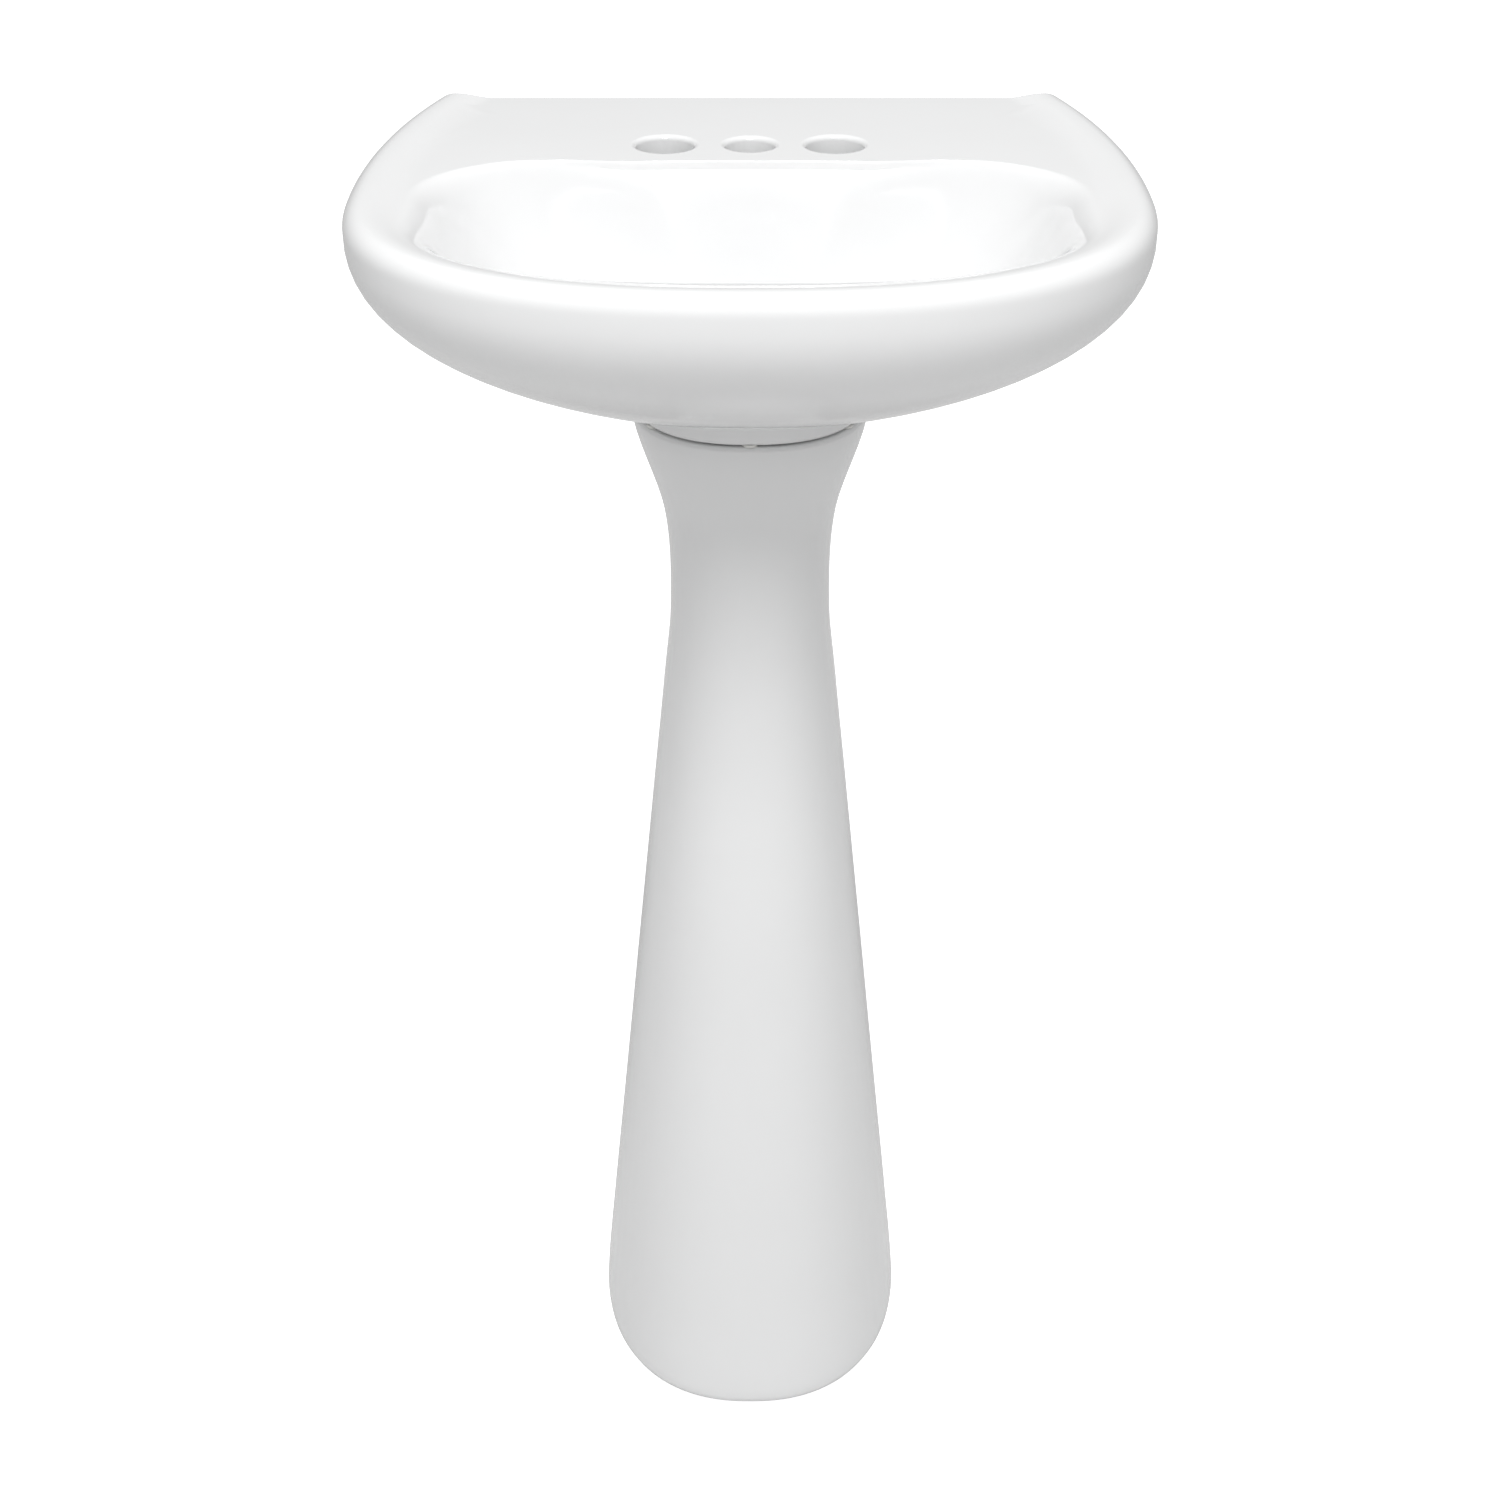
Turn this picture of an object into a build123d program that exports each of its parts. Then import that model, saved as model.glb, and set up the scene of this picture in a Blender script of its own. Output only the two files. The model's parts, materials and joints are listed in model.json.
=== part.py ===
"""Compact china pedestal sink: basin, open-backed pedestal, wall hangers, push-button drain and trap.

Millimetres. The origin is on the floor, at the middle of the sink's overall width and depth. +Z is up, and
+Y points to the room's wall, which the basin's flat back face meets at wall_y.
"""

from build123d import *
import os
from math import asin, atan2, cos, pi, sin, sqrt

# Driving dimensions
rim_z = 830.0
basin_width = 460.0
basin_depth = 386.0
wall_y = basin_depth / 2

# Basin body: a superellipsoid belly cut flat by the wall
widest_y = wall_y - 200.0
half_width = basin_width / 2
front_reach = basin_depth - 200.0
rear_reach = 382.0
front_power = 2.4
belly_power = 2.2
belly_taper = 1.04
rim_roll = 11.0
china_wall = 12.0
belly_top_z = rim_z - 15.0
belly_drop = 127.0
belly_floor_scale = 0.28

# Collar: the flat seat under the belly that stands on the pedestal's pads
collar_z = rim_z - 138.5
collar_half_width = 71.0
collar_mid_y = wall_y - 164.0
collar_front = 81.0
collar_rear = 39.0

# Deck: level, sunk a little inside the softly raised front and side rims
deck_drop = 3.0
deck_z = rim_z - deck_drop
deck_thickness = 13.0
lip_top = 14.0
lip_foot = 34.0
hole_y = wall_y - 102.0
hole_pitch = 50.8
side_hole_radius = 17.5
centre_hole_radius = 15.0
hole_edge_round = 3.0

# Bowl: a wide hollow with two rear lobes, and a bulge of the deck between them
drain_y = wall_y - 195.0
bowl_floor_z = rim_z - 120.0
bowl_depth = deck_z - bowl_floor_z
floor_radius = 33.0
bowl_centre_y = wall_y - 215.0
bowl_half_width = 182.0
bowl_front = 128.0
bowl_front_power = 2.9
bowl_back = 89.0
bowl_back_power = 3.1
bulge_half_angle = 52.0 * pi / 180
bulge_reach = 0.15
bowl_roll = 6.0
bowl_heights = [0.0, 0.023, 0.073, 0.154, 0.258, 0.38, 0.513, 0.654, 0.8, 1 - bowl_roll / bowl_depth]
seat_radius = 30.5
seat_depth = 4.0
outlet_radius = 22.25
boss_radius = 30.0
boss_bottom_z = rim_z - 162.0

# Overflow passage inside the front wall
overflow_z = rim_z - 45.0
overflow_width = 34.0
overflow_gap = 4.0

# Underside
skirt_front = wall_y - 125.0
hollow_front = wall_y - 140.0
rear_skirt_z = rim_z - 115.0
back_wall = 16.0

# Wall hangers
hanger_x = 74.0
hanger_width = 44.0
hanger_sheet = 3.0
pocket_depth = 7.0
window_low_z = rim_z - 102.0
window_high_z = rim_z - 58.0
hanger_screw_radius = 3.25
hanger_screw_pitch = 22.0
hanger_screw_z = rim_z - 84.0

# Pedestal: half width, front y and widest y at evenly spaced heights from the floor up
pedestal_top_z = 690.0
pedestal_rear_y = wall_y - 80.0
pedestal_wall = 11.0
pedestal_power = 2.3
pedestal_side_reach = 260.0
pedestal_foot_round = 6.0
pedestal_stations = [
    (102.2, wall_y - 267.0, wall_y - 114.0),
    (96.2, wall_y - 262.0, wall_y - 119.0),
    (89.4, wall_y - 256.5, wall_y - 124.0),
    (82.6, wall_y - 250.8, wall_y - 129.0),
    (75.9, wall_y - 245.2, wall_y - 134.0),
    (69.1, wall_y - 240.0, wall_y - 139.0),
    (62.4, wall_y - 235.0, wall_y - 144.0),
    (55.6, wall_y - 230.5, wall_y - 149.0),
    (49.6, wall_y - 227.0, wall_y - 154.0),
    (52.6, wall_y - 229.5, wall_y - 159.0),
    (72.0, wall_y - 246.0, wall_y - 164.0),
]
pedestal_foot_x = 72.0
pedestal_foot_y = wall_y - 112.0
pedestal_foot_hole = 5.0
pedestal_foot_height = 14.0
pad_radius = 4.5
pad_thickness = 1.5
pad_turns = (-90, -35, -145, 0, 180)

# Drain, on the outlet's axis
body_radius = 19.0
body_bore = 16.0
body_low_z = bowl_floor_z - 98.0
flange_radius = 29.0
gasket_thickness = 1.5
flange_z = bowl_floor_z - seat_depth + gasket_thickness
flange_top_z = flange_z + 2.5
port_z = bowl_floor_z - 16.0
seal_radius = 28.0
seal_height = 8.0
slip_thickness = 2.0
locknut_height = 14.0
locknut_flat = 25.0
nut_top_z = boss_bottom_z - seal_height - slip_thickness

# Push-button stopper, drawn shut
barrel_radius = 7.0
barrel_low_z = bowl_floor_z - 55.0
barrel_high_z = bowl_floor_z - 20.0
spoke_count = 3
stem_radius = 4.0
stem_low_z = barrel_low_z + 13.0
cap_radius = 25.0
cap_neck_radius = 14.0
cap_seal_thickness = 1.2
cap_z = flange_top_z + cap_seal_thickness
spring_radius = 4.0
spring_wire = 0.5
spring_turns = 5

# Waste pipe and trap
pipe_radius = 15.875
pipe_bore = pipe_radius - 1.4
tail_top_z = body_low_z + 30.0
thread_radius = 19.0
nut_radius = 22.5
nut_rib = 1.0
nut_rib_count = 12
trap_radius = 38.0
trap_rear_y = drain_y + 2 * trap_radius
trap_bend_z = 420.0
trap_inlet_z = 470.0
trap_socket_depth = 26.0
trap_outlet_z = 450.0
trap_thread_length = 18.0
elbow_radius = 32.0
elbow_low_z = 462.0
arm_z = elbow_low_z + elbow_radius

section_points = 24
bowl_points = 48
drain_plane = Plane.XZ.offset(-drain_y)
drain_axis = Axis((0, drain_y, 0), (0, 0, 1))


def signed_power(value, power):
    return abs(value) ** power * (1 if value >= 0 else -1)


def belly_scale(z):
    """Plan size of the belly at a height, as a share of its size under the rim."""
    depth = (belly_top_z - z) / belly_drop
    return (1 - max(depth, 0.0) ** belly_power) ** (1 / belly_taper)


def belly_height(scale):
    return belly_top_z - belly_drop * (1 - scale**belly_taper) ** (1 / belly_power)


def body_outline(scale, inset):
    """Closed plan outline of the basin, carried on behind the wall plane, where it is cut off.

    Lower down, the rear draws in less than the front and sides do.
    """
    rear_scale = scale ** (belly_taper / belly_power)
    points = []
    for k in range(section_points):
        turn = 2 * pi * k / section_points
        power = 2 / front_power if sin(turn) < 0 else 1.0
        reach = front_reach * scale if sin(turn) < 0 else rear_reach * rear_scale
        x = (half_width * scale - inset) * signed_power(cos(turn), power)
        y = (reach - inset) * signed_power(sin(turn), power)
        points.append((x, widest_y + y))
    return points


def collar_outline():
    points = []
    for k in range(section_points):
        turn = 2 * pi * k / section_points
        reach = collar_front if sin(turn) < 0 else collar_rear
        x = collar_half_width * signed_power(cos(turn), 2 / pedestal_power)
        y = reach * signed_power(sin(turn), 2 / pedestal_power)
        points.append((x, collar_mid_y + y))
    return points


def bulge_share(turn):
    """1 in the middle of the bulge behind the outlet, falling to 0 past its sides."""
    away = abs(atan2(cos(turn), sin(turn))) / bulge_half_angle
    t = min(max((1.22 - away) / 0.44, 0.0), 1.0)
    return t * t * (3 - 2 * t)


def bowl_edge(turn):
    """The bowl's edge, at an angle from +X about the bowl's middle."""
    c, s = cos(turn), sin(turn)
    reach, power = (bowl_front, bowl_front_power) if s < 0 else (bowl_back, bowl_back_power)
    r = ((abs(c) / bowl_half_width) ** power + (abs(s) / reach) ** power) ** (-1 / power)
    r = r * (1 - bulge_reach * bulge_share(turn))
    return r * c, bowl_centre_y + r * s


def bowl_share(turn, height):
    """Share of the way out from the floor at which the wall is at a height from 0 to 1."""
    bulge = bulge_share(turn)
    power = 2.5 - 1.1 * bulge
    slope = 0.10 + 0.12 * bulge
    low, high = 0.0, 1.0
    for _ in range(40):
        q = (low + high) / 2
        low, high = (q, high) if slope * q + (1 - slope) * q**power < height else (low, q)
    return low


def bowl_outline(height, grow):
    points = []
    for k in range(bowl_points):
        turn = 2 * pi * k / bowl_points
        q = bowl_share(turn, height)
        x, y = bowl_edge(turn)
        x = floor_radius * cos(turn) * (1 - q) + x * q + grow * cos(turn)
        y = (drain_y + floor_radius * sin(turn)) * (1 - q) + y * q + grow * sin(turn)
        points.append((x, y))
    return points


def roll_inset(z):
    """How far the rolled rim has come in at a height near the top."""
    up = max(z - (rim_z - rim_roll), 0.0)
    return rim_roll - sqrt(max(rim_roll**2 - up**2, 0.0))


def closed_curve(points):
    make_face(Edge.make_spline(points, periodic=True))



# ---------------------------------------------------------------- basin
belly_scales = [belly_floor_scale, 0.42, 0.56, 0.69, 0.8, 0.88, 0.94, 0.98, 1.0]
rim_heights = [rim_z - h for h in (rim_roll, 6.0, 2.5, 0.6, 0.0)]

with BuildPart() as body:
    for s in belly_scales:
        with BuildSketch(Plane.XY.offset(belly_height(s))):
            closed_curve(body_outline(s, 0))
    for z in rim_heights:
        with BuildSketch(Plane.XY.offset(z)):
            closed_curve(body_outline(1, roll_inset(z)))
    loft()
    split(bisect_by=Plane.XZ.offset(-wall_y), keep=Keep.TOP)

with BuildPart() as deck_recess:
    # Slopes down from the rim's crest, and runs out flat through the back
    for up, inset in ((0.3, lip_top - 2), (-0.8, lip_top + 5), (-2.2, lip_top + 12), (-deck_drop, lip_foot)):
        with BuildSketch(Plane.XY.offset(rim_z + up)):
            closed_curve(body_outline(1, inset))
    loft()

with BuildPart() as bowl:
    for height in bowl_heights:
        with BuildSketch(Plane.XY.offset(bowl_floor_z + height * bowl_depth)):
            closed_curve(bowl_outline(height, 0))
    loft()

with BuildPart() as bowl_roll_over:
    # The bowl's edge rolls over onto the deck
    for angle in (0.0, pi / 6, pi / 3, pi / 2):
        drop = bowl_roll * (1 - sin(angle))
        with BuildSketch(Plane.XY.offset(deck_z - drop)):
            closed_curve(bowl_outline(1 - drop / bowl_depth, bowl_roll * (1 - cos(angle))))
    loft()
    with BuildSketch(Plane.XY.offset(deck_z)):
        closed_curve(bowl_outline(1, bowl_roll))
    extrude(amount=deck_drop + 3)

with BuildPart() as bowl_outside:
    for height in (-0.11, 0.03, 0.2, 0.36, 0.55, 0.75, 1.0):
        with BuildSketch(Plane.XY.offset(bowl_floor_z + height * bowl_depth)):
            closed_curve(bowl_outline(max(height, 0.0), china_wall))
    loft()

with BuildPart() as rear_hollow:
    for z in (rear_skirt_z - 8, rim_z - 95, rim_z - 70, rim_z - 45, deck_z - deck_thickness):
        with BuildSketch(Plane.XY.offset(z)):
            closed_curve(body_outline(belly_scale(z - 7), china_wall - 2))
    loft()
    split(bisect_by=Plane.XZ.offset(back_wall - wall_y), keep=Keep.TOP)
    split(bisect_by=Plane.XZ.offset(-hollow_front), keep=Keep.BOTTOM)
    add(bowl_outside.part, mode=Mode.SUBTRACT)

with BuildPart() as skirt_cut:
    with BuildSketch(Plane.XY.offset(rear_skirt_z)):
        with Locations((0, (skirt_front + wall_y) / 2 + 10)):
            Rectangle(basin_width + 20, wall_y - skirt_front + 20)
    extrude(amount=-basin_depth)

with BuildPart() as holes_cut:
    # Outlet, with a seat for the drain's flange
    with BuildSketch(Plane.XY.offset(boss_bottom_z - 1)):
        with Locations((0, drain_y)):
            Circle(outlet_radius)
    extrude(amount=bowl_floor_z - boss_bottom_z + 6)
    with BuildSketch(Plane.XY.offset(bowl_floor_z - seat_depth)):
        with Locations((0, drain_y)):
            Circle(seat_radius)
    extrude(amount=seat_depth + 5)
    # Tap holes, widening where their top edges are rounded over
    arc_in = hole_edge_round * (1 - sqrt(0.5))
    for x, r in ((-hole_pitch, side_hole_radius), (0, centre_hole_radius), (hole_pitch, side_hole_radius)):
        with BuildSketch(Plane.XZ.offset(-hole_y)):
            with BuildLine():
                Polyline(
                    (x, deck_z + 4),
                    (x, deck_z - deck_thickness - 6),
                    (x + r, deck_z - deck_thickness - 6),
                    (x + r, deck_z - hole_edge_round),
                )
                ThreePointArc(
                    (x + r, deck_z - hole_edge_round),
                    (x + r + arc_in, deck_z - arc_in),
                    (x + r + hole_edge_round, deck_z),
                )
                Polyline(
                    (x + r + hole_edge_round, deck_z),
                    (x + r + hole_edge_round, deck_z + 4),
                    (x, deck_z + 4),
                )
            make_face()
        revolve(axis=Axis((x, hole_y, 0), (0, 0, 1)))

with BuildPart() as passage_cut:
    # Overflow: a slot in the bowl's front wall, led down inside the wall to the outlet
    with BuildSketch(Plane.YZ):
        with BuildLine():
            FilletPolyline(
                (drain_y - 116, overflow_z),
                (drain_y - 152, overflow_z),
                (drain_y - 111, overflow_z - 46),
                (drain_y - 71, bowl_floor_z + 5.6),
                (drain_y - 52, bowl_floor_z - 0.8),
                (drain_y - 38, bowl_floor_z - 9),
                (drain_y - outlet_radius + 6, bowl_floor_z - 12),
                radius=6,
            )
        trace(line_width=overflow_gap)
    extrude(amount=overflow_width / 2, both=True)

with BuildPart() as hanger_cut:
    with BuildSketch(Plane.XZ.offset(-wall_y - 5)):
        with Locations((-hanger_x, window_high_z - 30), (hanger_x, window_high_z - 30)):
            Rectangle(hanger_width + 6, 86)
    extrude(amount=pocket_depth + 5)
    with BuildSketch(Plane.XZ.offset(-wall_y - 5)):
        with Locations(*[(x, (window_low_z + window_high_z) / 2) for x in (-hanger_x, hanger_x)]):
            RectangleRounded(hanger_width, window_high_z - window_low_z, 3)
    extrude(amount=back_wall + 11)

with BuildPart() as basin:
    add(body.part)
    with BuildSketch(Plane.XY.offset(collar_z)):
        closed_curve(collar_outline())
    extrude(amount=belly_height(0.34) - collar_z)
    with BuildSketch(Plane.XY.offset(boss_bottom_z)):
        with Locations((0, drain_y)):
            Circle(boss_radius)
    extrude(amount=bowl_floor_z - boss_bottom_z - 2)
    top_cuts = (deck_recess, bowl, bowl_roll_over)
    for cut in top_cuts + (skirt_cut, holes_cut, passage_cut, hanger_cut, rear_hollow):
        add(cut.part, mode=Mode.SUBTRACT)

# ---------------------------------------------------------------- pedestal
def column_outline(width, front_y, mid_y, rear_y):
    """Plan of the column from its back right corner, round the front, to its back left corner."""
    opening = asin((rear_y - mid_y) / pedestal_side_reach)
    turns = [opening, opening / 2] + [-k * pi / 12 for k in range(13)] + [-pi - opening / 2, -pi - opening]
    points = []
    for turn in turns:
        power = 2 / pedestal_power if sin(turn) < 0 else 1.0
        reach = mid_y - front_y if sin(turn) < 0 else pedestal_side_reach
        x = width * signed_power(cos(turn), power)
        points.append((x, mid_y + reach * signed_power(sin(turn), power)))
    return points


def column(inset, overshoot):
    """The column lofted through its stations, inset in plan and carried past its open faces."""
    pitch = (pedestal_top_z + 2 * overshoot) / (len(pedestal_stations) - 1)
    with BuildPart() as solid:
        for k, (width, front_y, mid_y) in enumerate(pedestal_stations):
            outline = column_outline(width - inset, front_y + inset, mid_y, pedestal_rear_y + overshoot)
            with BuildSketch(Plane.XY.offset(k * pitch - overshoot)):
                with BuildLine():
                    Spline(*outline)
                    Line(outline[-1], outline[0])
                make_face()
        loft()
    return solid.part


with BuildPart() as pedestal:
    add(column(0, 0))
    foot_edge = pedestal.faces().sort_by(Axis.Z)[0].edges().sort_by(Axis.Y)[0]
    fillet(foot_edge, pedestal_foot_round)
    add(column(pedestal_wall, 1), mode=Mode.SUBTRACT)
    # Two feet inside the open back, for the floor screws
    with BuildSketch():
        with Locations((-pedestal_foot_x - 2, pedestal_foot_y), (pedestal_foot_x + 2, pedestal_foot_y)):
            Rectangle(42, 40)
        with Locations((-pedestal_foot_x, pedestal_foot_y), (pedestal_foot_x, pedestal_foot_y)):
            Circle(pedestal_foot_hole, mode=Mode.SUBTRACT)
    extrude(amount=pedestal_foot_height)

with BuildPart() as pedestal_pads:
    width, front_y, mid_y = pedestal_stations[-1]
    spots = []
    for turn in pad_turns:
        angle = turn * pi / 180
        x = (width - pedestal_wall / 2) * signed_power(cos(angle), 2 / pedestal_power)
        y = (mid_y - front_y - pedestal_wall / 2) * signed_power(sin(angle), 2 / pedestal_power)
        spots.append((x, mid_y + y))
    with BuildSketch(Plane.XY.offset(pedestal_top_z)):
        with Locations(*spots):
            Circle(pad_radius)
    extrude(amount=pad_thickness)


# ---------------------------------------------------------------- wall hangers
def hanger(x):
    """Steel plate on the wall, with a hooked tongue through the basin's window."""
    with BuildPart() as plate:
        with BuildSketch(Plane.XZ.offset(-wall_y)):
            with Locations((x, (rear_skirt_z + window_high_z + 12) / 2)):
                RectangleRounded(hanger_width, window_high_z + 8 - rear_skirt_z, 4)
            with Locations((x, hanger_screw_z)):
                with GridLocations(0, hanger_screw_pitch, 1, 2):
                    Circle(hanger_screw_radius, mode=Mode.SUBTRACT)
        extrude(amount=hanger_sheet)
        with BuildSketch(Plane.YZ.offset(x)):
            with BuildLine():
                FilletPolyline(
                    (wall_y - hanger_sheet / 2, window_high_z - hanger_sheet / 2),
                    (wall_y - back_wall - 3, window_high_z - hanger_sheet / 2),
                    (wall_y - back_wall - 3, window_high_z + 12),
                    radius=hanger_sheet * 0.6,
                )
                offset(amount=hanger_sheet / 2, side=Side.BOTH, closed=True)
            make_face()
        extrude(amount=hanger_width / 2 - 4, both=True)
    return plate.part


with BuildPart() as hanger_left:
    add(hanger(-hanger_x))

with BuildPart() as hanger_right:
    add(hanger(hanger_x))


# ---------------------------------------------------------------- drain
def ring_outline(outer, inner, low, high):
    """Half section of a washer, for revolving."""
    return [(inner, low), (outer, low), (outer, high), (inner, high)]


def round_piece(outline, centre_y):
    """A round piece about an upright axis, from its half section."""
    with BuildPart() as piece:
        with BuildSketch(Plane.XZ.offset(-centre_y)):
            make_face(Wire.make_polygon(outline, close=True).edges())
        revolve(axis=Axis((0, centre_y, 0), (0, 0, 1)))
    return piece.part


def cross_slots(z):
    """Four rounded ports through the drain body, at the overflow passage's height."""
    with BuildPart() as slots:
        with BuildSketch(Plane.XZ.offset(-drain_y)):
            with Locations((0, z)):
                RectangleRounded(13, 9, 4)
        extrude(amount=body_radius + 2, both=True)
        with BuildSketch(Plane.YZ):
            with Locations((drain_y, z)):
                RectangleRounded(13, 9, 4)
        extrude(amount=body_radius + 2, both=True)
    return slots.part


with BuildPart() as drain_body:
    body_outline_points = [
        (body_bore, body_low_z),
        (body_radius, body_low_z),
        (body_radius, flange_z),
        (flange_radius, flange_z),
        (flange_radius, flange_z + 0.8),
        (flange_radius - 1.2, flange_top_z - 0.4),
        (flange_radius - 2.8, flange_top_z),
        (body_bore + 5, flange_top_z),
        (body_bore + 3.6, flange_top_z - 0.6),
        (body_bore + 2, flange_top_z - 5),
        (body_bore, flange_top_z - 7.5),
    ]
    add(round_piece(body_outline_points, drain_y))
    add(cross_slots(port_z), mode=Mode.SUBTRACT)
    # Spokes that carry the push-push barrel
    with BuildSketch(Plane.XY.offset(barrel_low_z + 4)):
        with Locations((0, drain_y)):
            with PolarLocations((barrel_radius + body_bore) / 2, spoke_count, start_angle=90):
                Rectangle(body_bore - barrel_radius + 1, 3)
            Circle(barrel_radius, mode=Mode.SUBTRACT)
    extrude(amount=10)

with BuildPart() as drain_flange_gasket:
    add(round_piece(ring_outline(flange_radius, body_radius, bowl_floor_z - seat_depth, flange_z), drain_y))

with BuildPart() as drain_seal_washer:
    seal_outline = [
        (body_radius, boss_bottom_z - seal_height),
        (seal_radius, boss_bottom_z - seal_height),
        (seal_radius, boss_bottom_z),
        (outlet_radius - 0.1, boss_bottom_z),
        (body_radius + 0.6, boss_bottom_z + 7),
        (body_radius, boss_bottom_z + 7),
    ]
    add(round_piece(seal_outline, drain_y))

with BuildPart() as drain_slip_washer:
    add(round_piece(ring_outline(seal_radius, body_radius, nut_top_z, nut_top_z + slip_thickness), drain_y))

with BuildPart() as drain_locknut:
    with BuildSketch(Plane.XY.offset(nut_top_z - locknut_height)):
        with Locations((0, drain_y)):
            RegularPolygon(locknut_flat, 6, major_radius=False)
            Circle(body_radius, mode=Mode.SUBTRACT)
    extrude(amount=locknut_height)

# ---------------------------------------------------------------- push-button stopper
with BuildPart() as stopper_cartridge:
    barrel_outline = [
        (0, barrel_low_z),
        (barrel_radius, barrel_low_z),
        (barrel_radius, barrel_high_z),
        (stem_radius + 0.25, barrel_high_z),
        (stem_radius + 0.25, barrel_high_z - 4),
        (barrel_radius - 1.2, barrel_high_z - 4),
        (barrel_radius - 1.2, barrel_low_z + 2),
        (0, barrel_low_z + 2),
    ]
    add(round_piece(barrel_outline, drain_y))

with BuildPart() as stopper_stem:
    stem_outline = [
        (0, stem_low_z),
        (stem_radius + 1.5, stem_low_z),
        (stem_radius + 1.5, stem_low_z + 3),
        (stem_radius, stem_low_z + 3),
        (stem_radius, cap_z),
        (0, cap_z),
    ]
    add(round_piece(stem_outline, drain_y))

with BuildPart() as stopper_cap:
    with BuildSketch(drain_plane):
        with BuildLine():
            Polyline(
                (0, cap_z + 3.4),
                (0, cap_z),
                (stem_radius, cap_z),
                (stem_radius, cap_z - 8),
                (stem_radius + 2.5, cap_z - 8),
                (stem_radius + 2.5, cap_z - 2.4),
                (cap_neck_radius + 3, cap_z - 2.4),
                (cap_neck_radius, cap_z - cap_seal_thickness),
                (cap_neck_radius, cap_z),
                (cap_radius, cap_z),
                (cap_radius, cap_z + 0.8),
            )
            Spline(
                (cap_radius, cap_z + 0.8),
                (cap_radius - 3, cap_z + 2.1),
                (0, cap_z + 3.4),
                tangents=((-0.2, 1), (-1, 0)),
            )
        make_face()
    revolve(axis=drain_axis)

with BuildPart() as stopper_cap_seal:
    add(round_piece(ring_outline(cap_radius - 2, cap_neck_radius, flange_top_z, cap_z), drain_y))

with BuildPart() as stopper_spring:
    spring_low = barrel_low_z + 2 + spring_wire
    spring_height = stem_low_z - spring_low - spring_wire
    with BuildLine():
        Helix(spring_height / spring_turns, spring_height, spring_radius, center=(0, drain_y, spring_low))
    with BuildSketch(Plane(origin=(spring_radius, drain_y, spring_low), z_dir=(0, 1, 0))):
        Circle(spring_wire)
    sweep(is_frenet=True)

# ---------------------------------------------------------------- waste pipe and trap
with BuildPart() as tailpiece:
    tail_low_z = trap_inlet_z - trap_socket_depth + 4
    add(round_piece(ring_outline(pipe_radius, pipe_bore, tail_low_z, tail_top_z), drain_y))


def slip_nut(centre_y, low, seat, high):
    """A ribbed nut: threaded up to the seat, with a lip over the washer or flange above it."""
    with BuildPart() as nut:
        with BuildSketch(Plane.XY.offset(low)):
            with Locations((0, centre_y)):
                Circle(nut_radius - nut_rib)
                with PolarLocations(nut_radius - nut_rib, nut_rib_count):
                    Rectangle(2 * nut_rib, 4)
                Circle(thread_radius, mode=Mode.SUBTRACT)
        extrude(amount=seat - low)
        with BuildSketch(Plane.XY.offset(seat)):
            with Locations((0, centre_y)):
                Circle(nut_radius - nut_rib)
                Circle(pipe_radius + 0.3, mode=Mode.SUBTRACT)
        extrude(amount=high - seat)
        fillet(nut.faces().sort_by(Axis.Z)[-1].outer_wire().edges(), 1.5)
    return nut.part


def pipe(path_points, bend_radius, outer, inner):
    """A bent pipe in the plane x = 0, through (y, z) corners."""
    with BuildPart() as run:
        with BuildLine(Plane.YZ) as path:
            FilletPolyline(*path_points, radius=bend_radius)
        start = path.wires()[0]
        with BuildSketch(Plane(origin=start @ 0, z_dir=start % 0)):
            Circle(outer)
            Circle(inner, mode=Mode.SUBTRACT)
        sweep()
    return run.part


inlet_washer_top = trap_inlet_z + 4
outlet_washer_top = trap_outlet_z + 2
arm_flange_top = outlet_washer_top + 2.5

with BuildPart() as trap_inlet_washer:
    add(round_piece(ring_outline(thread_radius, pipe_radius, trap_inlet_z, inlet_washer_top), drain_y))

with BuildPart() as trap_inlet_nut:
    add(slip_nut(drain_y, inlet_washer_top - 20, inlet_washer_top, inlet_washer_top + 3))

with BuildPart() as trap_bend:
    bend_corners = [
        (drain_y, trap_inlet_z - trap_socket_depth),
        (drain_y, trap_bend_z - trap_radius),
        (trap_rear_y, trap_bend_z - trap_radius),
        (trap_rear_y, trap_outlet_z - trap_thread_length),
    ]
    add(pipe(bend_corners, trap_radius - 0.01, pipe_radius, pipe_bore))
    socket_outline = [
        (pipe_bore, trap_inlet_z - trap_socket_depth - 0.01),
        (pipe_radius, trap_inlet_z - trap_socket_depth - 0.01),
        (thread_radius, trap_inlet_z - trap_socket_depth + 3),
        (thread_radius, trap_inlet_z),
        (pipe_radius + 0.2, trap_inlet_z),
        (pipe_radius + 0.2, trap_inlet_z - trap_socket_depth + 4),
        (pipe_bore, trap_inlet_z - trap_socket_depth + 4),
    ]
    add(round_piece(socket_outline, drain_y))
    thread_low_z = trap_outlet_z - trap_thread_length
    add(round_piece(ring_outline(thread_radius, pipe_bore, thread_low_z, trap_outlet_z), trap_rear_y))

with BuildPart() as trap_outlet_washer:
    add(round_piece(ring_outline(thread_radius, pipe_bore, trap_outlet_z, outlet_washer_top), trap_rear_y))

with BuildPart() as trap_outlet_nut:
    add(slip_nut(trap_rear_y, arm_flange_top - 20, arm_flange_top, arm_flange_top + 3))

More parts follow.
